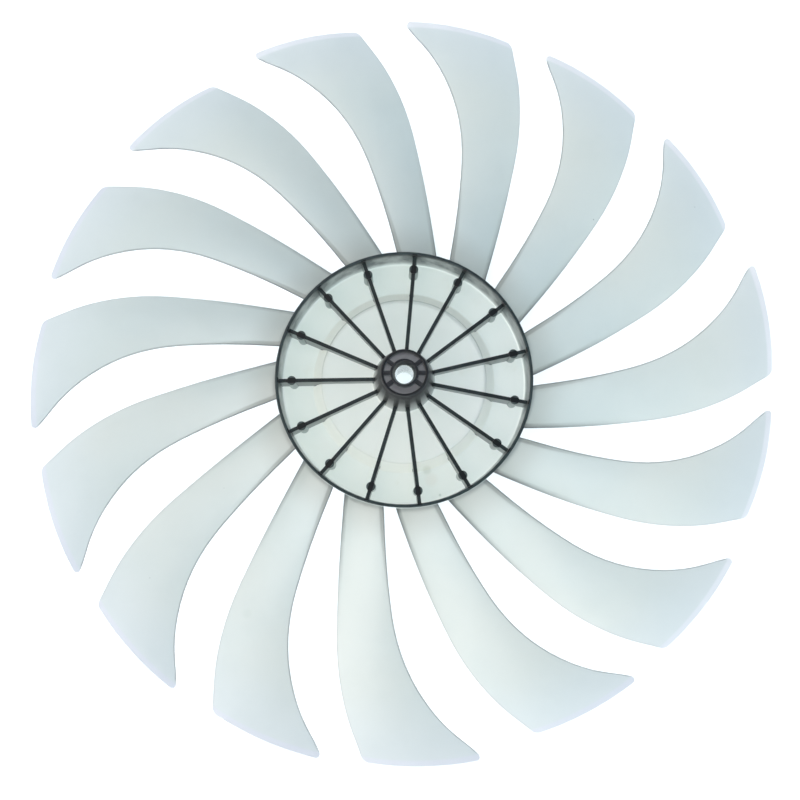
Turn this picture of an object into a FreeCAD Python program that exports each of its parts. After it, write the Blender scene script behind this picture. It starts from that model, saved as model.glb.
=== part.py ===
import FreeCAD, Part
import math
import os
from FreeCAD import Vector as V

# Fan blade: a one-piece injection-moulded axial fan wheel, millimetres.
# Frame: Z is the wheel axis and the axis of the shaft bore, +Z points out of
# the open rear side of the hub drum. Z = 0 is the plane of the drum's rear
# rim. X runs along the straight web of the boss.

# ---------------------------------------------------------------- dimensions
N_BLADES = 15                  # one rib and one pin behind each blade
PITCH = 360.0 / N_BLADES
RIB_PHASE = 13.0               # angle of the first rib from +X, degrees

# hub drum
RIM_R = 60.0                   # outer radius at the rear rim
RIM_IN_R = 58.5                # inner radius at the rear rim
DRUM_FRONT_R = 59.75           # outer radius at the front, 1 degree of draft
FLOOR_R = 58.25                # inner radius at the floor
FLOOR_OUT_Z = -16.0            # floor of the outer ring
FRONT_Z = -17.6                # front face, the wheel's lowest face
PLATE_T = FLOOR_OUT_Z - FRONT_Z
STEP_OUT_R = 43.4              # foot of the conical step, floor side
STEP_IN_R = 39.1               # head of the conical step, floor side
FLOOR_IN_Z = -10.5             # floor inside the step
FRONT_IN_Z = FLOOR_IN_Z - PLATE_T

# central boss: a conical shell with a bored sleeve inside
BOSS_TOP_Z = 15.0
BOSS_TOP_R = 10.75
BOSS_BASE_R = 14.8
BOSS_WALL = 1.75               # measured along the radius
SLEEVE_R = 6.4
SLEEVE_FRONT_R = 6.05
BORE_R = 4.2                   # runs on an 8 mm shaft
BORE_LEAD_R = 5.4              # mouth of the lead-in cone at the rear
BORE_LEAD_Z = 10.0             # where the lead-in cone ends
BORE_FRONT_CHAMFER = 0.4
POCKET_R = 9.55                # outer radius of the ring pocket at the rear
POCKET_Z = 13.0                # floor of the ring pocket
CAVITY_Z = 10.8                # roof of the front cavity
WEB_T = 2.1
WEB_TOP_Z = 14.7
WEB_ANGLES = (0.0, 36.0, 144.0, 180.0, 216.0, 324.0)

# radial ribs and the pins on them
RIB_TOP_Z = -3.5
RIB_TOP_T = 1.7
RIB_BASE_T = 2.0
PIN_R = 52.5                   # radius of the circle of pins
PIN_TOP_Z = -2.9
PIN_TOP_D = 4.25
PIN_BASE_D = 4.65

# blades: angles of the two edges from the rib, by radius
EDGE_RADII = (59.0, 64.0, 70.0, 78.0, 88.0, 100.0, 112.0, 124.0, 136.0, 148.0, 160.0, 168.0, 176.0)
LEAD_ANGLE = (7.63, 8.76, 9.65, 10.73, 11.96, 13.38, 14.80, 16.65, 19.09, 22.16, 25.91, 28.81, 30.6)
TRAIL_ANGLE = (-11.05, -9.28, -7.32, -5.15, -2.90, -0.64, 1.33, 3.08, 4.99, 7.22, 9.77, 11.62, 13.0)
# heights of the two edges (middle of the skin), by radius
HEIGHT_RADII = (56.0, 60.0, 70.0, 80.0, 90.0, 100.0, 110.0, 120.0, 130.0, 140.0, 150.0, 160.0, 170.0, 178.0)
LEAD_Z = (-4.3, -4.5, -5.1, -5.8, -6.3, -6.4, -6.0, -5.2, -4.2, -3.2, -2.3, -1.5, -0.8, -0.4)
TRAIL_Z = (-13.4, -14.0, -15.2, -15.9, -16.1, -15.8, -15.1, -14.0, -12.5, -10.8, -9.0, -7.4, -6.0, -5.2)
CAMBER_RADII = (56.0, 90.0, 130.0, 178.0)
CAMBER = (1.1, 1.5, 1.7, 1.5)  # rise of the mean line over the edge-to-edge line
TIP_R = 172.9                  # radius at the middle of the tip edge
TIP_SLOPE = 0.42               # leading end of the tip edge minus trailing end
LEAD_CORNER_R = 1.6
TRAIL_CORNER_R = 4.5
ROOT_T = 2.7                   # skin at the root, mid chord
MID_T = 1.65                   # skin near mid span, mid chord
TIP_T = 1.35                   # skin near the tip, mid chord
ROOT_FLARE = 0.8               # extra skin on each side where the blade meets the drum
ROOT_FLARE_R = 62.6            # where that flare has run out
NOSE = 0.12                    # share of the chord over which an edge is rounded off
NOSE_T_ROOT = 0.45             # skin at the edges over skin at mid chord, at the root
NOSE_T_TIP = 0.72              # and near the tip
TIP_LIP = 4.0                  # width of the thinned strip along the tip edge
TIP_LIP_T = 0.85               # skin at the tip edge
EDGE_FILLET = 0.32
BLADE_ROOT_R = 59.3            # the blade starts inside the drum wall

# set of each blade as the wheel lies: swing about the axis in degrees and
# rise in mm, both reached at the tip and growing with the square of the span
SWING = (0.10, -0.45, -1.16, -0.08, 1.20, 1.45, 1.25, 0.49, -0.83, -1.18, -1.60, 0.68, 0.33, 0.47, -0.68)
RISE = (-2.4, -0.3, 3.4, 1.9, -1.7, -1.1, -0.1, 1.4, 4.2, 5.1, 4.6, -5.4, -5.3, -5.7, 1.4)
SET_R = 172.0


# ---------------------------------------------------------------- curves
def solve(a, b):
    """Small dense linear solve with pivoting."""
    n = len(b)
    m = [list(a[i]) + [b[i]] for i in range(n)]
    for c in range(n):
        p = max(range(c, n), key=lambda i: abs(m[i][c]))
        m[c], m[p] = m[p], m[c]
        for i in range(c + 1, n):
            f = m[i][c] / m[c][c]
            if f:
                for j in range(c, n + 1):
                    m[i][j] -= f * m[c][j]
    x = [0.0] * n
    for i in range(n - 1, -1, -1):
        x[i] = (m[i][n] - sum(m[i][j] * x[j] for j in range(i + 1, n))) / m[i][i]
    return x


def cubic(xs, ys):
    """Not-a-knot cubic through the table; returns a function of x."""
    n = len(xs)
    h = [xs[i + 1] - xs[i] for i in range(n - 1)]
    a = [[0.0] * n for _ in range(n)]
    b = [0.0] * n
    a[0][0], a[0][1], a[0][2] = h[1], -(h[0] + h[1]), h[0]
    a[-1][-3], a[-1][-2], a[-1][-1] = h[-1], -(h[-2] + h[-1]), h[-2]
    for i in range(1, n - 1):
        a[i][i - 1], a[i][i], a[i][i + 1] = h[i - 1], 2 * (h[i - 1] + h[i]), h[i]
        b[i] = 6 * ((ys[i + 1] - ys[i]) / h[i] - (ys[i] - ys[i - 1]) / h[i - 1])
    m = solve(a, b)

    def f(x):
        i = 0
        while i < n - 2 and x > xs[i + 1]:
            i += 1
        u, w = xs[i + 1] - x, x - xs[i]
        return ((m[i] * u ** 3 + m[i + 1] * w ** 3) / (6 * h[i])
                + (ys[i] / h[i] - m[i] * h[i] / 6) * u
                + (ys[i + 1] / h[i] - m[i + 1] * h[i] / 6) * w)
    return f


lead_angle = cubic(EDGE_RADII, LEAD_ANGLE)
trail_angle = cubic(EDGE_RADII, TRAIL_ANGLE)
lead_z = cubic(HEIGHT_RADII, LEAD_Z)
trail_z = cubic(HEIGHT_RADII, TRAIL_Z)
camber = cubic(CAMBER_RADII, CAMBER)
skin = cubic((56.0, 80.0, 115.0, 150.0, 178.0), (ROOT_T, 0.5 * (ROOT_T + MID_T), MID_T, 0.5 * (MID_T + TIP_T), TIP_T))


def smooth(x):
    x = min(1.0, max(0.0, x))
    return x * x * (3 - 2 * x)


def set_weight(r):
    return max(0.0, (r - RIM_R) / (SET_R - RIM_R)) ** 2


def mean_point(k, r, s):
    """Mean surface of blade k: s = 0 on the trailing edge, 1 on the leading edge."""
    w = set_weight(r)
    ang = math.radians(RIB_PHASE + PITCH * k + trail_angle(r) + (lead_angle(r) - trail_angle(r)) * s + SWING[k] * w)
    z = trail_z(r) + (lead_z(r) - trail_z(r)) * s + 4 * camber(r) * s * (1 - s) + RISE[k] * w
    return V(r * math.cos(ang), r * math.sin(ang), z)


def tip_radius(s):
    return TIP_R + TIP_SLOPE * (s - 0.5)


def thickness(r, s):
    u = min(1.0, max(0.0, s))
    x = min(1.0, min(u, 1 - u) / NOSE)
    e = NOSE_T_ROOT + (NOSE_T_TIP - NOSE_T_ROOT) * smooth((r - RIM_R) / 75.0)
    t = skin(r) * (e + (0.96 - e) * (1 - (1 - x) ** 2) + 0.16 * u * (1 - u))
    t += 2 * ROOT_FLARE * max(0.0, (ROOT_FLARE_R - max(r, 58.0)) / (ROOT_FLARE_R - 59.5)) ** 2
    f = smooth((r - (TIP_R - TIP_LIP)) / TIP_LIP)
    return t + (TIP_LIP_T - t) * f


def skin_point(k, r, s, side):
    e = 0.05
    dr = mean_point(k, r + e, s) - mean_point(k, r - e, s)
    ds = mean_point(k, r, s + 0.002) - mean_point(k, r, s - 0.002)
    n = dr.cross(ds)
    n.normalize()
    if n.z < 0:
        n = n * -1
    return mean_point(k, r, s) + n * (side * 0.5 * thickness(r, s))


# ---------------------------------------------------------------- blade
GRID_R = [58.0, 59.2, 60.4, 61.5, 62.6, 64.5, 68.0, 73.0, 80.0, 89.0, 99.0, 110.0, 121.0, 132.0, 142.0,
          151.0, 158.0, 163.5, 167.0, 169.3, 171.2, 173.0, 175.0]
GRID_S = [-0.06, -0.03, 0.0, 0.02, 0.045, 0.08, 0.14, 0.25, 0.42, 0.58, 0.75, 0.86, 0.92, 0.955, 0.98, 1.0, 1.03, 1.06]


def skin_face(k, side):
    grid = [[skin_point(k, r, s, side) for s in GRID_S] for r in GRID_R]
    surf = Part.BSplineSurface()
    surf.interpolate(grid)
    return surf.toShape()


def plan_edge(k, s, r0, r1, n):
    pts = []
    for i in range(n + 1):
        p = mean_point(k, r0 + (r1 - r0) * i / n, s)
        pts.append(V(p.x, p.y, -45.0))
    c = Part.BSplineCurve()
    c.interpolate(pts)
    return c.toShape(), pts


def outline(k):
    """Plan outline of a blade at Z = -45, as a face."""
    trail, tp = plan_edge(k, 0.0, BLADE_ROOT_R, tip_radius(0.0), 22)
    lead, lp = plan_edge(k, 1.0, BLADE_ROOT_R, tip_radius(1.0), 22)
    tip = []
    for i in range(9):
        s = i / 8.0
        p = mean_point(k, tip_radius(s), s)
        tip.append(V(p.x, p.y, -45.0))
    tip[0], tip[-1] = tp[-1], lp[-1]
    tc = Part.BSplineCurve()
    tc.interpolate(tip)
    mid = mean_point(k, BLADE_ROOT_R, 0.5)
    root = Part.Arc(lp[0], V(mid.x, mid.y, -45.0), tp[0]).toShape()
    return Part.Face(Part.Wire([trail, tc.toShape(), lead, root])), tp[-1], lp[-1]


def near(edge, p):
    return all(abs(v.Point.x - p.x) < 1e-3 and abs(v.Point.y - p.y) < 1e-3 for v in edge.Vertexes)


def blade(k):
    face, trail_corner, lead_corner = outline(k)
    prism = face.extrude(V(0, 0, 70))
    prism = prism.makeFillet(TRAIL_CORNER_R, [e for e in prism.Edges if near(e, trail_corner)])
    prism = prism.makeFillet(LEAD_CORNER_R, [e for e in prism.Edges if near(e, lead_corner)])
    above = skin_face(k, 1).extrude(V(0, 0, 60))
    below = skin_face(k, -1).extrude(V(0, 0, -60))
    body = prism.cut(above).cut(below)
    body = body.Solids[0] if body.Solids else body
    edges = []
    for e in body.Edges:
        mid = e.valueAt(0.5 * (e.FirstParameter + e.LastParameter))
        a, b = e.Vertexes[0].Point, e.Vertexes[-1].Point
        vertical = math.hypot(a.x - b.x, a.y - b.y) < 0.05 and abs(a.z - b.z) > 0.2
        at_root = math.hypot(mid.x, mid.y) < BLADE_ROOT_R + 0.05
        if not vertical and not at_root:
            edges.append(e)
    try:
        rounded = body.makeFillet(EDGE_FILLET, edges)
        if rounded.isValid() and rounded.Volume > 0.95 * body.Volume:
            return rounded
        print("blade", k, "edges left square: invalid")
    except Exception as err:
        print("blade", k, "edges left square:", err)
    return body


# ---------------------------------------------------------------- revolved hub
def rounded_profile(points):
    """Closed wire in the XZ plane through (r, z, fillet) corners."""
    n = len(points)
    cut = []
    for i in range(n):
        r, z, f = points[i]
        p = V(r, 0, z)
        a = V(points[i - 1][0], 0, points[i - 1][1])
        b = V(points[(i + 1) % n][0], 0, points[(i + 1) % n][1])
        if f <= 0:
            cut.append((p, None, p))
            continue
        u, w = (a - p), (b - p)
        u.normalize()
        w.normalize()
        half = 0.5 * u.getAngle(w)
        d = f / math.tan(half)
        centre = p + (u + w).normalize() * (f / math.sin(half))
        m = centre + (p - centre).normalize() * f
        cut.append((p + u * d, m, p + w * d))
    edges = []
    for i in range(n):
        s, m, e = cut[i]
        if m is not None:
            edges.append(Part.Arc(s, m, e).toShape())
        nxt = cut[(i + 1) % n][0]
        if e.distanceToPoint(nxt) > 1e-6:
            edges.append(Part.LineSegment(e, nxt).toShape())
    return Part.Wire(edges)


def boss_r(z):
    return BOSS_BASE_R + (BOSS_TOP_R - BOSS_BASE_R) * (z - FLOOR_IN_Z) / (BOSS_TOP_Z - FLOOR_IN_Z)


def step_front(z):
    """Front side of the conical step, one plate thickness from the floor side."""
    dr, dz = STEP_IN_R - STEP_OUT_R, FLOOR_IN_Z - FLOOR_OUT_Z
    ln = math.hypot(dr, dz)
    pr, pz = STEP_OUT_R - PLATE_T * dz / ln, FLOOR_OUT_Z + PLATE_T * dr / ln
    return pr + (z - pz) * dr / dz


HUB = [
    (RIM_R, 0.0, 0.35),
    (DRUM_FRONT_R, FRONT_Z, 2.6),
    (step_front(FRONT_Z), FRONT_Z, 0.8),
    (step_front(FRONT_IN_Z), FRONT_IN_Z, 1.6),
    (boss_r(FRONT_IN_Z) - BOSS_WALL, FRONT_IN_Z, 0.8),
    (boss_r(CAVITY_Z) - BOSS_WALL, CAVITY_Z, 0.8),
    (SLEEVE_R, CAVITY_Z, 0.6),
    (SLEEVE_FRONT_R, FRONT_IN_Z, 0.25),
    (BORE_R + BORE_FRONT_CHAMFER, FRONT_IN_Z, 0.0),
    (BORE_R, FRONT_IN_Z + BORE_FRONT_CHAMFER, 0.0),
    (BORE_R, BORE_LEAD_Z, 0.0),
    (BORE_LEAD_R, BOSS_TOP_Z, 0.15),
    (SLEEVE_R, BOSS_TOP_Z, 0.25),
    (SLEEVE_R + 0.05, POCKET_Z, 0.5),
    (POCKET_R - 0.05, POCKET_Z, 0.5),
    (POCKET_R + 0.05, BOSS_TOP_Z, 0.25),
    (BOSS_TOP_R, BOSS_TOP_Z, 0.4),
    (BOSS_BASE_R, FLOOR_IN_Z, 0.9),
    (STEP_IN_R, FLOOR_IN_Z, 0.15),
    (STEP_OUT_R, FLOOR_OUT_Z, 1.4),
    (FLOOR_R, FLOOR_OUT_Z, 0.9),
    (RIM_IN_R, 0.0, 0.3),
]
hub = Part.Face(rounded_profile(HUB)).revolve(V(0, 0, 0), V(0, 0, 1), 360)
print("hub", hub.ShapeType, hub.isValid(), round(hub.Volume))


# ---------------------------------------------------------------- ribs, pins, webs
def drafted_plate(angle, r0, r1, z0, z1, t0, t1):
    """Radial plate from r0 to r1, t0 thick at z0 and t1 thick at z1."""
    wires = []
    for z, t in ((z0, t0), (z1, t1)):
        pts = [V(r0, -t / 2, z), V(r1, -t / 2, z), V(r1, t / 2, z), V(r0, t / 2, z)]
        wires.append(Part.makePolygon(pts + [pts[0]]))
    s = Part.makeLoft(wires, True, True)
    s.rotate(V(0, 0, 0), V(0, 0, 1), angle)
    return s


# the room that ribs and pins fill: from inside the skin of the boss to inside
# the drum wall, down to the middle of the plate
mid_plate = 0.5 * PLATE_T
ROOM = [
    (boss_r(RIB_TOP_Z + 3.0) - 0.6, RIB_TOP_Z + 3.0, 0.0),
    (boss_r(FLOOR_IN_Z - mid_plate) - 0.6, FLOOR_IN_Z - mid_plate, 0.0),
    (STEP_IN_R - 0.7, FLOOR_IN_Z - mid_plate, 0.0),
    (STEP_OUT_R - 0.7, FLOOR_OUT_Z - mid_plate, 0.0),
    (FLOOR_R + 0.6, FLOOR_OUT_Z - mid_plate, 0.0),
    (RIM_IN_R + 0.6, RIB_TOP_Z + 3.0, 0.0),
]
room = Part.Face(rounded_profile(ROOM)).revolve(V(0, 0, 0), V(0, 0, 1), 360)

rib = drafted_plate(0.0, 8.0, 59.6, FRONT_Z - 1.0, RIB_TOP_Z, RIB_BASE_T, RIB_TOP_T)
pin = Part.makeCone(PIN_BASE_D / 2, PIN_TOP_D / 2, PIN_TOP_Z - FRONT_Z, V(PIN_R, 0, FRONT_Z), V(0, 0, 1))
pin = pin.makeFillet(0.25, [e for e in pin.Edges if e.BoundBox.ZMin > PIN_TOP_Z - 0.01])
rib = rib.fuse(pin).common(room)
ribs = []
for k in range(N_BLADES):
    r = rib.copy()
    r.rotate(V(0, 0, 0), V(0, 0, 1), RIB_PHASE + PITCH * k)
    ribs.append(r)

# the boss's webs stand in the rear ring pocket and in the front cavity
webs = []
for a in WEB_ANGLES:
    rear = drafted_plate(a, SLEEVE_R - 0.8, POCKET_R + 0.5, POCKET_Z - 0.8, WEB_TOP_Z, WEB_T, WEB_T - 0.15)
    webs.append(rear)
CAVITY = [
    (5.2, CAVITY_Z + 0.8, 0.0),
    (5.2, FRONT_IN_Z + 1.2, 0.0),
    (boss_r(FRONT_IN_Z + 1.2) - 0.8, FRONT_IN_Z + 1.2, 0.0),
    (boss_r(CAVITY_Z + 0.8) - 0.8, CAVITY_Z + 0.8, 0.0),
]
cavity = Part.Face(rounded_profile(CAVITY)).revolve(V(0, 0, 0), V(0, 0, 1), 360)
for a in WEB_ANGLES:
    front = drafted_plate(a, 5.0, 14.0, FRONT_IN_Z, CAVITY_Z + 0.8, WEB_T - 0.3, WEB_T)
    webs.append(front.common(cavity))

# ---------------------------------------------------------------- one moulding
blades = [blade(k) for k in range(N_BLADES)]
# Ribs and webs meet only the inside of the drum and blades only its outside, so
# the two joins are made apart and their faces are put together in one shell.


def on_outside(f):
    """True for a blade's face and for the drum's outer wall with its round edges."""
    u0, u1, v0, v1 = f.ParameterRange
    p = f.valueAt(0.5 * (u0 + u1), 0.5 * (v0 + v1))
    r = math.hypot(p.x, p.y)
    return r > RIM_R + 0.05 or (r > 58.92 and FRONT_Z + 0.01 < p.z < -0.02)


inside = hub.fuse(Part.makeCompound(ribs + webs)).removeSplitter()
outside = hub.fuse(Part.makeCompound(blades)).removeSplitter()
faces = [f for f in inside.Faces if not on_outside(f)] + [f for f in outside.Faces if on_outside(f)]
shell = Part.makeShell(faces)
shell.sewShape()
wheel = Part.makeSolid(shell)
bb = wheel.BoundBox
print("wheel solids", len(wheel.Solids), "valid", wheel.isValid(), "volume", round(wheel.Volume),
      "faces", len(wheel.Faces), "box", [round(x, 2) for x in (bb.XMin, bb.YMin, bb.ZMin, bb.XMax, bb.YMax, bb.ZMax)])

os.makedirs("parts", exist_ok=True)
wheel.exportStep("parts/fan_wheel.step")
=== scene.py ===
import bpy
import math
from mathutils import Matrix, Vector


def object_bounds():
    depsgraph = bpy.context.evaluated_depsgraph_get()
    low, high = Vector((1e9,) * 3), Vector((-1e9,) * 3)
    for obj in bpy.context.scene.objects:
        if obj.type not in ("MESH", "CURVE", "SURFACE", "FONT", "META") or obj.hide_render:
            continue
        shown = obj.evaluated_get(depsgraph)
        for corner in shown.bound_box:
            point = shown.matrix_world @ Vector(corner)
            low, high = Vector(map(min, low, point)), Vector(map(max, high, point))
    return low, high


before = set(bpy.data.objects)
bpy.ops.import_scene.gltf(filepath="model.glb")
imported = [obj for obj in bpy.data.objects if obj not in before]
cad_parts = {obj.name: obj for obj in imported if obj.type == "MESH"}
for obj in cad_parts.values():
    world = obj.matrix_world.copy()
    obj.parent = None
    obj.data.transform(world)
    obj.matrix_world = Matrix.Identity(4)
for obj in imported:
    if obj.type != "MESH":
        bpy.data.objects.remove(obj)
cad_lo, cad_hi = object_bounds()
scene = bpy.context.scene

# All lengths are in metres, in the frame of the part: Z is the wheel axis, Z = 0
# the rear rim of the hub drum, and the wheel lies on its front face.
FLOOR_Z = cad_lo.z - 0.0003


# ------------------------------------------------------------------ camera
# Pinhole camera at the photograph's viewing angle, for an 800 px square frame.
FOCAL_PX, DISTANCE = 947.488, 0.439290
TURN_X, TURN_Y = -0.1222746, 0.0057855
OFF_X, OFF_Y = 0.000874822, 0.011548765
CENTRE_U, CENTRE_V = 402.2638, 402.5232
to_camera = Matrix.Rotation(TURN_X, 3, "X") @ Matrix.Rotation(TURN_Y, 3, "Y")
cam = bpy.data.cameras.new("camera")
cam.sensor_width = 36.0
cam.lens = 36.0 * FOCAL_PX / 800.0
cam.shift_x = (400.0 - CENTRE_U) / 800.0
cam.shift_y = (CENTRE_V - 400.0) / 800.0
cam.clip_start, cam.clip_end = 0.01, 50.0
cam_ob = bpy.data.objects.new("camera", cam)
scene.collection.objects.link(cam_ob)
back = to_camera.transposed()
place = Matrix.Translation(back @ -Vector((OFF_X, OFF_Y, -DISTANCE)))
cam_ob.matrix_world = place @ back.to_4x4()
scene.camera = cam_ob


# ------------------------------------------------------------------ node helpers
class Tree:
    """Short calls for a shader's node tree."""

    def __init__(self, owner):
        owner.use_nodes = True
        self.nt = owner.node_tree
        self.nt.nodes.clear()

    def put(self, value, socket):
        if isinstance(value, bpy.types.NodeSocket):
            self.nt.links.new(value, socket)
        elif value is not None:
            socket.default_value = value

    def node(self, kind, **settings):
        n = self.nt.nodes.new(kind)
        for k, v in settings.items():
            setattr(n, k, v)
        return n

    def math(self, op, a, b=None, c=None, clamp=False):
        n = self.node("ShaderNodeMath", operation=op, use_clamp=clamp)
        for value, socket in zip((a, b, c), n.inputs):
            self.put(value, socket)
        return n.outputs[0]

    def ramp(self, x, lo, hi, out_lo=0.0, out_hi=1.0):
        """Smooth step from out_lo to out_hi as x goes from lo to hi."""
        n = self.node("ShaderNodeMapRange", interpolation_type="SMOOTHSTEP")
        for name, value in (("Value", x), ("From Min", lo), ("From Max", hi), ("To Min", out_lo), ("To Max", out_hi)):
            self.put(value, n.inputs[name])
        return n.outputs["Result"]

    def band(self, x, lo, hi, soft):
        """1 between lo and hi, falling to 0 over soft on both sides."""
        return self.math("MULTIPLY", self.ramp(x, lo - soft, lo), self.ramp(x, hi, hi + soft, 1.0, 0.0))

    def both(self, *masks):
        out = masks[0]
        for m in masks[1:]:
            out = self.math("MULTIPLY", out, m)
        return out

    def mix(self, share, a, b):
        n = self.node("ShaderNodeMix", data_type="RGBA")
        self.put(share, n.inputs[0])
        self.put(a, n.inputs[6])
        self.put(b, n.inputs[7])
        return n.outputs[2]

    def times(self, share, a, b):
        """a, or a times b where share is 1."""
        n = self.node("ShaderNodeMix", data_type="RGBA", blend_type="MULTIPLY")
        self.put(share, n.inputs[0])
        self.put(a, n.inputs[6])
        self.put(b, n.inputs[7])
        return n.outputs[2]

    def plus(self, share, a, b):
        """a, or a plus b where share is 1."""
        n = self.node("ShaderNodeMix", data_type="RGBA", blend_type="ADD")
        self.put(share, n.inputs[0])
        self.put(a, n.inputs[6])
        self.put(b, n.inputs[7])
        return n.outputs[2]

    def noise(self, vector, scale, detail=2.0, roughness=0.5):
        n = self.node("ShaderNodeTexNoise")
        self.put(vector, n.inputs["Vector"])
        self.put(scale, n.inputs["Scale"])
        self.put(detail, n.inputs["Detail"])
        self.put(roughness, n.inputs["Roughness"])
        return n.outputs["Fac"]

    def steps(self, x, values):
        """The value of the equal step of 0 to 1 in which x lies."""
        n = self.node("ShaderNodeValToRGB")
        n.color_ramp.interpolation = "CONSTANT"
        stops = n.color_ramp.elements
        while len(stops) < len(values):
            stops.new(1.0)
        for i, v in enumerate(values):
            stops[i].position = i / len(values)
            stops[i].color = (v, v, v, 1.0)
        self.put(x, n.inputs[0])
        return n.outputs[0]

    def curve(self, x, points):
        """Smooth curve through points, all within 0 and 1."""
        n = self.node("ShaderNodeFloatCurve")
        line = n.mapping.curves[0]
        while len(line.points) < len(points):
            line.points.new(0.5, 0.5)
        for p, at in zip(line.points, points):
            p.location = at
        n.mapping.update()
        self.put(x, n.inputs["Value"])
        return n.outputs["Value"]


# ------------------------------------------------------------------ plastic
# the blade's two edges: angle in degrees from the rib, by radius in mm
EDGE_RADII = (59.0, 64.0, 70.0, 78.0, 88.0, 100.0, 112.0, 124.0, 136.0, 148.0, 160.0, 168.0, 176.0)
LEAD_ANGLE = (7.63, 8.76, 9.65, 10.73, 11.96, 13.38, 14.80, 16.65, 19.09, 22.16, 25.91, 28.81, 30.6)
TRAIL_ANGLE = (-11.05, -9.28, -7.32, -5.15, -2.90, -0.64, 1.33, 3.08, 4.99, 7.22, 9.77, 11.62, 13.0)
RIB_PHASE, PITCH, N_BLADES = 13.0, 24.0, 15
PIN_R = 52.5
# swing of each blade at the tip, in degrees
SWING = (0.10, -0.45, -1.16, -0.08, 1.20, 1.45, 1.25, 0.49, -0.83, -1.18, -1.60, 0.68, 0.33, 0.47, -0.68)
# marks on the plastic: x, y, size in mm, strength, tint
MARKS = (
    (11.0, -42.0, 2.6, 0.60, (0.74, 0.74, 0.68, 1.0)),
    (13.0, -46.5, 4.2, 0.50, (0.93, 0.87, 0.84, 1.0)),
    (5.5, -39.5, 3.0, 0.35, (0.86, 0.85, 0.82, 1.0)),
    (17.1, -53.8, 0.9, 0.80, (0.55, 0.60, 0.57, 1.0)),
    (92.3, 79.6, 0.42, 0.90, (0.30, 0.33, 0.34, 1.0)),
    (139.4, 83.4, 0.40, 0.70, (0.40, 0.42, 0.44, 1.0)),
    (-83.7, -50.8, 0.35, 0.90, (0.55, 0.58, 0.56, 1.0)),
    (-115.1, -91.5, 0.35, 0.80, (0.55, 0.58, 0.56, 1.0)),
    (-71.4, -107.8, 3.2, 0.50, (0.88, 0.90, 0.88, 1.0)),
)


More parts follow.
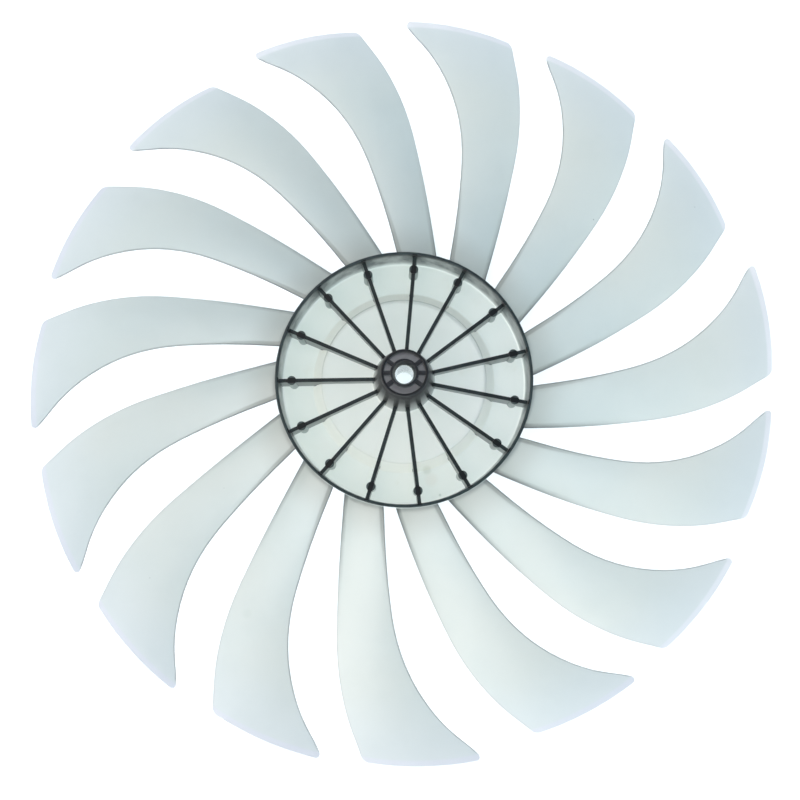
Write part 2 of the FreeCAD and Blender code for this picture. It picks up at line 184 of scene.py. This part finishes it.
def tinted_plastic():
    mat = bpy.data.materials.new("tinted_plastic")
    t = Tree(mat)
    mm = t.node("ShaderNodeVectorMath", operation="SCALE")
    t.put(t.node("ShaderNodeTexCoord").outputs["Object"], mm.inputs[0])
    t.put(1000.0, mm.inputs["Scale"])
    pos = mm.outputs[0]
    xyz = t.node("ShaderNodeSeparateXYZ")
    t.put(pos, xyz.inputs[0])
    x, y, z = xyz.outputs
    r = t.math("SQRT", t.math("ADD", t.math("MULTIPLY", x, x), t.math("MULTIPLY", y, y)))
    angle = t.math("DEGREES", t.math("ARCTAN2", y, x))
    nrm = t.node("ShaderNodeSeparateXYZ")
    t.put(t.node("ShaderNodeNewGeometry").outputs["Normal"], nrm.inputs[0])
    flat = t.math("ABSOLUTE", nrm.outputs[2])
    arc = t.math("MULTIPLY", r, math.pi / 180.0)

    # distance in mm to the middle plane of the nearest rib, and to its pin
    rib_off = t.math("MULTIPLY", t.math("PINGPONG", t.math("SUBTRACT", angle, RIB_PHASE), PITCH / 2), arc)
    out_off = t.math("SUBTRACT", r, PIN_R)
    pin_off = t.math("SQRT", t.math("ADD", t.math("MULTIPLY", rib_off, rib_off), t.math("MULTIPLY", out_off, out_off)))

    # distance in mm to the two edges of the blade, along the arc
    span = t.math("DIVIDE", t.math("SUBTRACT", r, EDGE_RADII[0]), EDGE_RADII[-1] - EDGE_RADII[0], clamp=True)
    trail = t.curve(span, [((a - EDGE_RADII[0]) / (EDGE_RADII[-1] - EDGE_RADII[0]), (b + 15.0) / 50.0)
                           for a, b in zip(EDGE_RADII, TRAIL_ANGLE)])
    chord = t.curve(span, [((a - EDGE_RADII[0]) / (EDGE_RADII[-1] - EDGE_RADII[0]), (b - c) / 50.0)
                           for a, b, c in zip(EDGE_RADII, LEAD_ANGLE, TRAIL_ANGLE)])
    trail = t.math("SUBTRACT", t.math("MULTIPLY", trail, 50.0), 15.0)
    chord = t.math("MULTIPLY", chord, 50.0)
    past = t.math("ADD", t.math("SUBTRACT", angle, trail), 2.2 - RIB_PHASE)
    number = t.math("FLOORED_MODULO", t.math("FLOOR", t.math("DIVIDE", past, PITCH)), float(N_BLADES))
    swing = t.steps(t.math("DIVIDE", t.math("ADD", number, 0.5), float(N_BLADES)), [(v + 2.0) / 4.0 for v in SWING])
    swing = t.math("SUBTRACT", t.math("MULTIPLY", swing, 4.0), 2.0)
    reach = t.math("DIVIDE", t.math("SUBTRACT", r, 60.0), 112.0)
    swing = t.math("MULTIPLY", swing, t.math("MULTIPLY", reach, reach))
    turn = t.math("SUBTRACT", t.math("SUBTRACT", t.math("FLOORED_MODULO", past, PITCH), 2.2), swing)
    trail_off = t.math("MULTIPLY", turn, arc)
    lead_off = t.math("MULTIPLY", t.math("SUBTRACT", chord, turn), arc)

    # where things are
    in_drum = t.ramp(r, 58.95, 59.15, 1.0, 0.0)
    blade = t.ramp(r, 60.05, 60.3)
    upright = t.ramp(flat, 0.3, 0.6, 1.0, 0.0)
    rim = t.both(t.band(r, 58.1, 60.3, 0.2), t.ramp(z, -3.0, -0.9))
    floor_z = t.ramp(r, 39.1, 43.4, -10.5, -16.0)
    above = t.math("SUBTRACT", z, floor_z)
    rib = t.both(in_drum, t.ramp(rib_off, 1.08, 1.25, 1.0, 0.0), t.ramp(r, 11.0, 13.0), t.ramp(above, 0.15, 0.5))
    rib_top = t.both(rib, t.ramp(z, -4.6, -3.9))
    rib_foot = t.both(rib, t.ramp(above, 1.0, 2.4, 1.0, 0.0))
    pin = t.both(t.ramp(pin_off, 2.4, 2.6, 1.0, 0.0), t.ramp(above, 0.15, 0.5))
    pin_top = t.both(pin, t.ramp(z, -4.0, -3.2))
    wall = t.both(t.band(r, 58.0, 60.1, 0.1), t.ramp(z, -15.4, -10.0, 0.45, 1.0), upright)
    step = t.band(r, 39.3, 43.2, 0.5)
    step_line = t.both(t.band(r, 38.95, 39.35, 0.15), t.ramp(z, -11.6, -10.8), t.ramp(y, -6.0, 24.0, 0.2, 1.0))
    shell = t.both(t.band(r, 9.6, 14.9, 0.15), t.ramp(z, -10.3, -9.5))
    boss_top = t.both(t.band(r, 9.6, 12.2, 0.15), t.ramp(z, 7.5, 12.0))
    pocket = t.both(t.band(r, 6.6, 9.45, 0.1), t.ramp(z, 12.2, 12.8))
    web = t.both(t.band(r, 6.5, 9.6, 0.1), t.ramp(z, 13.4, 14.0))
    sleeve = t.both(t.band(r, 4.32, 6.5, 0.1), t.ramp(z, -11.5, -10.5))
    lead_side = t.both(blade, t.ramp(lead_off, 2.2, 3.2, 1.0, 0.0), t.ramp(r, 169.5, 171.5, 1.0, 0.0))
    trail_side = t.both(blade, t.ramp(trail_off, 1.6, 2.6, 1.0, 0.0))
    edge = t.ramp(flat, 0.55, 0.88, 1.0, 0.0)
    near_root = t.ramp(r, 62.0, 118.0, 1.0, 0.0)
    lead_line = t.both(edge, lead_side, t.ramp(r, 60.0, 130.0, 1.0, 0.75))
    trail_line = t.both(edge, trail_side, t.ramp(r, 62.0, 140.0, 1.0, 0.35))
    width = t.ramp(r, 60.0, 115.0, 2.2, 0.6)
    inward = t.math("SUBTRACT", lead_off, width)
    lead_band = t.both(blade, near_root, t.ramp(inward, -0.5, 0.4, 1.0, 0.0))
    trail_band = t.both(blade, near_root, t.ramp(trail_off, 0.4, 1.5, 1.0, 0.0))
    foot = t.both(blade, t.ramp(r, 60.2, 62.6, 1.0, 0.0))
    tip = t.both(blade, t.ramp(r, 138.0, 172.0))
    tip_strip = t.ramp(r, 169.9, 170.9)
    lead_rim = t.both(blade, t.ramp(lead_off, 0.30, 0.75, 1.0, 0.0), t.ramp(r, 168.5, 170.5, 1.0, 0.0))
    trail_rim = t.both(blade, t.ramp(trail_off, 0.30, 0.75, 1.0, 0.0), t.ramp(r, 168.5, 170.5, 1.0, 0.0))
    tip_line = t.both(edge, t.ramp(r, 170.6, 171.4))

    # tint
    drift = t.noise(pos, 0.014, 2.0)
    col = t.mix(t.ramp(drift, 0.35, 0.65), (0.590, 0.605, 0.572, 1.0), (0.568, 0.598, 0.576, 1.0))
    # painted light and shade: inside the drum the tint is darker towards +y and lighter towards +x, lighter past r 38
    # mm, and lifted within r 30 mm as painted light against the shade of the ribs and boss
    inside = t.mix(t.ramp(y, -55.0, 55.0), (0.755, 0.735, 0.675, 1.0), (0.678, 0.682, 0.634, 1.0))
    inside = t.mix(t.ramp(x, 0.0, 58.0, 0.0, 0.8), inside, (0.755, 0.745, 0.715, 1.0))
    inside = t.times(t.ramp(r, 38.0, 46.0), inside, (1.06, 1.07, 1.06, 1.0))
    inside = t.times(t.ramp(r, 15.0, 30.0, 1.0, 0.0), inside, (1.06, 1.04, 1.04, 1.0))
    col = t.mix(in_drum, col, inside)
    col = t.mix(t.math("MULTIPLY", tip, 0.8), col, (0.574, 0.604, 0.606, 1.0))
    # painted highlight: a pale strip along the blade tips, paler towards +x and +y
    tip_highlight = t.mix(t.ramp(t.math("ADD", x, y), -70.0, 70.0), (0.60, 0.60, 0.65, 1.0), (0.70, 0.69, 0.715, 1.0))
    col = t.mix(t.math("MULTIPLY", tip_strip, 0.75), col, tip_highlight)
    cloud = t.noise(pos, 0.05, 4.0, 0.6)
    col = t.times(t.math("MULTIPLY", t.ramp(cloud, 0.42, 0.75), 0.5), col, (0.94, 0.95, 0.95, 1.0))
    # painted shade: darker bands along the leading and trailing edges of each blade towards the root
    col = t.times(t.math("MULTIPLY", lead_band, 0.80), col, (0.62, 0.615, 0.605, 1.0))
    col = t.times(t.math("MULTIPLY", trail_band, 0.8), col, (0.62, 0.64, 0.64, 1.0))
    # painted shade: the blades darken towards their roots and at their feet, where they meet the drum
    col = t.times(t.both(blade, t.ramp(r, 60.0, 80.0, 1.0, 0.0)), col, (0.80, 0.775, 0.75, 1.0))
    col = t.times(t.math("MULTIPLY", foot, 0.6), col, (0.55, 0.57, 0.57, 1.0))
    # painted shade: dark strips along the blade edges and dark lines on the edge faces and the tip edge, standing in
    # for the darkness of light through the edge's depth
    col = t.times(t.math("MULTIPLY", lead_rim, 0.9), col, (0.55, 0.54, 0.55, 1.0))
    col = t.times(t.math("MULTIPLY", trail_rim, 0.6), col, (0.75, 0.71, 0.73, 1.0))
    col = t.times(lead_line, col, (0.13, 0.13, 0.135, 1.0))
    col = t.times(trail_line, col, (0.20, 0.20, 0.205, 1.0))
    col = t.times(tip_line, col, (0.50, 0.45, 0.48, 1.0))
    # drum: mottled wall, darker beside the ribs as painted shade; step with painted light and shade; faint brown
    # stains and specks
    mottle = t.noise(pos, 0.16, 3.0, 0.55)
    beside = t.ramp(rib_off, 0.8, 7.0, 1.0, 0.0)
    wall_dark = t.math("ADD", t.ramp(mottle, 0.3, 0.7, 0.55, 0.95), t.math("MULTIPLY", beside, 0.35), clamp=True)
    # painted shade: the wall is tinted near black, more so beside the ribs and towards +x, and less towards its foot
    col = t.times(t.math("MULTIPLY", wall, wall_dark), col, (0.038, 0.045, 0.050, 1.0))
    col = t.times(t.both(wall, t.ramp(x, 15.0, 50.0)), col, (0.68, 0.70, 0.70, 1.0))
    # painted light and shade: the step is lighter towards +x and darker towards -x
    step_shading = t.mix(t.ramp(x, -40.0, 40.0), (0.88, 0.865, 0.85, 1.0), (1.15, 1.07, 0.99, 1.0))
    col = t.times(t.math("MULTIPLY", step, 0.6), col, step_shading)
    # painted shade: a dark line along the step's inner edge, stronger towards +y
    col = t.times(t.math("MULTIPLY", step_line, 0.7), col, (0.40, 0.42, 0.41, 1.0))
    stain = t.both(in_drum, t.ramp(t.noise(pos, 0.06, 5.0, 0.65), 0.58, 0.78))
    col = t.times(t.math("MULTIPLY", stain, 0.45), col, (0.88, 0.85, 0.78, 1.0))
    for at_x, at_y, size, strength, tint in MARKS:
        dx, dy = t.math("SUBTRACT", x, at_x), t.math("SUBTRACT", y, at_y)
        off = t.math("SQRT", t.math("ADD", t.math("MULTIPLY", dx, dx), t.math("MULTIPLY", dy, dy)))
        off = t.math("ADD", off, t.math("MULTIPLY", t.math("SUBTRACT", cloud, 0.5), size))
        col = t.times(t.ramp(off, 0.3 * size, size, strength, 0.0), col, tint)
    # painted shade: ribs, their feet, pins and the rim are tinted dark, near black on their tops, standing in for the
    # darkness of light running the depth of the plastic
    col = t.times(rib, col, (0.10, 0.115, 0.115, 1.0))
    col = t.times(rib_foot, col, (0.32, 0.34, 0.34, 1.0))
    col = t.times(rib_top, col, (0.02, 0.03, 0.034, 1.0))
    col = t.times(pin, col, (0.22, 0.245, 0.245, 1.0))
    col = t.times(pin_top, col, (0.10, 0.125, 0.13, 1.0))
    col = t.times(rim, col, (0.015, 0.025, 0.028, 1.0))
    # boss: painted shade, the upper shell is tinted near black and fades towards its foot; its top, pocket, webs and
    # sleeve are tinted dark too, standing in for the darkness of light through the thick plastic
    col = t.times(t.both(shell, t.ramp(z, -10.5, 6.0, 0.55, 1.0)), col, (0.026, 0.027, 0.031, 1.0))
    col = t.times(boss_top, col, (0.03, 0.03, 0.042, 1.0))
    col = t.times(pocket, col, (0.105, 0.095, 0.115, 1.0))
    col = t.times(web, col, (0.07, 0.07, 0.085, 1.0))
    col = t.times(sleeve, col, (0.004, 0.0036, 0.006, 1.0))

    # surface: moulded gloss inside the drum, softer on the blades, dusty in patches
    dust = t.noise(pos, 0.8, 3.0, 0.6)
    rough = t.math("ADD", t.ramp(dust, 0.3, 0.7, 0.285, 0.33), t.math("MULTIPLY", blade, t.ramp(cloud, 0.3, 0.7, 0.01, 0.06)))
    rough = t.math("MULTIPLY", rough, t.ramp(r, 4.25, 4.4, 0.3, 1.0))
    rough = t.math("ADD", rough, t.both(shell, upright, t.ramp(z, 2.0, 10.0, 0.13, 0.30)))
    bump = t.node("ShaderNodeBump")
    t.put(0.12, bump.inputs["Strength"])
    t.put(0.0002, bump.inputs["Distance"])
    t.put(t.noise(pos, 0.16, 2.0), bump.inputs["Height"])

    p = t.node("ShaderNodeBsdfPrincipled")
    t.put(col, p.inputs["Base Color"])
    t.put(rough, p.inputs["Roughness"])
    t.put(1.52, p.inputs["IOR"])
    t.put(0.72, p.inputs["Transmission Weight"])
    t.put(bump.outputs[0], p.inputs["Normal"])
    # light on its way to and from other surfaces goes straight through
    way = t.node("ShaderNodeLightPath")
    clear = t.node("ShaderNodeBsdfTransparent")
    t.put((0.965, 0.975, 0.975, 1.0), clear.inputs["Color"])
    surface = t.node("ShaderNodeMixShader")
    t.put(t.math("MAXIMUM", way.outputs["Is Shadow Ray"], way.outputs["Is Diffuse Ray"]), surface.inputs[0])
    t.put(p.outputs[0], surface.inputs[1])
    t.put(clear.outputs[0], surface.inputs[2])
    vol = t.node("ShaderNodeVolumeAbsorption")
    t.put((0.52, 0.60, 0.59, 1.0), vol.inputs["Color"])
    t.put(90.0, vol.inputs["Density"])
    out = t.node("ShaderNodeOutputMaterial")
    t.put(surface.outputs[0], out.inputs["Surface"])
    t.put(vol.outputs[0], out.inputs["Volume"])
    return mat


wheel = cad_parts["fan_wheel"]
plastic = tinted_plastic()
for s in wheel.material_slots:
    s.material = plastic
if not wheel.material_slots:
    wheel.data.materials.append(plastic)


# ------------------------------------------------------------------ floor
def floor_material():
    mat = bpy.data.materials.new("floor")
    t = Tree(mat)
    pos = t.node("ShaderNodeTexCoord").outputs["Object"]
    p = t.node("ShaderNodeBsdfPrincipled")
    t.put(t.mix(t.noise(pos, 3.0), (0.885, 0.88, 0.88, 1.0), (0.91, 0.905, 0.905, 1.0)), p.inputs["Base Color"])
    t.put(0.85, p.inputs["Roughness"])
    t.put(0.15, p.inputs["Specular IOR Level"])
    out = t.node("ShaderNodeOutputMaterial")
    t.put(p.outputs[0], out.inputs["Surface"])
    return mat


bpy.ops.mesh.primitive_plane_add(size=24.0, location=(0.0, 0.0, FLOOR_Z))
floor = bpy.context.active_object
floor.name = "floor"
floor.data.materials.append(floor_material())


# ------------------------------------------------------------------ light
def world_light():
    """Studio: broad white light on the left, dim right side, a bluish window at the lower right."""
    world = bpy.data.worlds.new("studio")
    scene.world = world
    t = Tree(world)
    way = t.node("ShaderNodeSeparateXYZ")
    t.put(t.node("ShaderNodeTexCoord").outputs["Generated"], way.inputs[0])
    across = t.math("MULTIPLY_ADD", way.outputs[1], 0.2, way.outputs[0])
    left = t.ramp(across, -0.55, 0.45, 1.0, 0.0)
    sky = t.mix(left, (0.13, 0.18, 0.25, 1.0), (1.0, 0.98, 0.955, 1.0))
    window = t.math("MULTIPLY_ADD", way.outputs[1], -0.83, t.math("MULTIPLY", way.outputs[0], 0.56))
    sky = t.plus(t.ramp(window, 0.10, 0.55), sky, (0.275, 0.37, 0.415, 1.0))
    sky = t.times(t.ramp(way.outputs[2], 0.05, 0.45, 1.0, 0.0), sky, (0.45, 0.47, 0.48, 1.0))
    sky = t.times(t.ramp(way.outputs[2], 0.88, 0.965), sky, (0.15, 0.15, 0.17, 1.0))
    bg = t.node("ShaderNodeBackground")
    t.put(sky, bg.inputs["Color"])
    t.put(2.48, bg.inputs["Strength"])
    out = t.node("ShaderNodeOutputWorld")
    t.put(bg.outputs[0], out.inputs["Surface"])


world_light()


def softbox(name, at, aim, size, power, colour=(1.0, 1.0, 1.0)):
    lamp = bpy.data.lights.new(name, "AREA")
    lamp.shape = "RECTANGLE"
    lamp.size, lamp.size_y = size
    lamp.energy = power
    lamp.color = colour
    ob = bpy.data.objects.new(name, lamp)
    scene.collection.objects.link(ob)
    ob.location = at
    ob.rotation_euler = (Vector(aim) - Vector(at)).to_track_quat("-Z", "Y").to_euler()
    return ob


softbox("key", (-1.50, -0.20, 1.05), (0.0, 0.0, 0.0), (1.3, 2.0), 9.0)

scene.cycles.max_bounces = 10
scene.cycles.diffuse_bounces = 3
scene.cycles.glossy_bounces = 4
scene.cycles.transmission_bounces = 10
scene.cycles.transparent_max_bounces = 32
scene.cycles.caustics_refractive = False
scene.cycles.caustics_reflective = False
scene.view_settings.view_transform = "Standard"
scene.view_settings.look = "None"
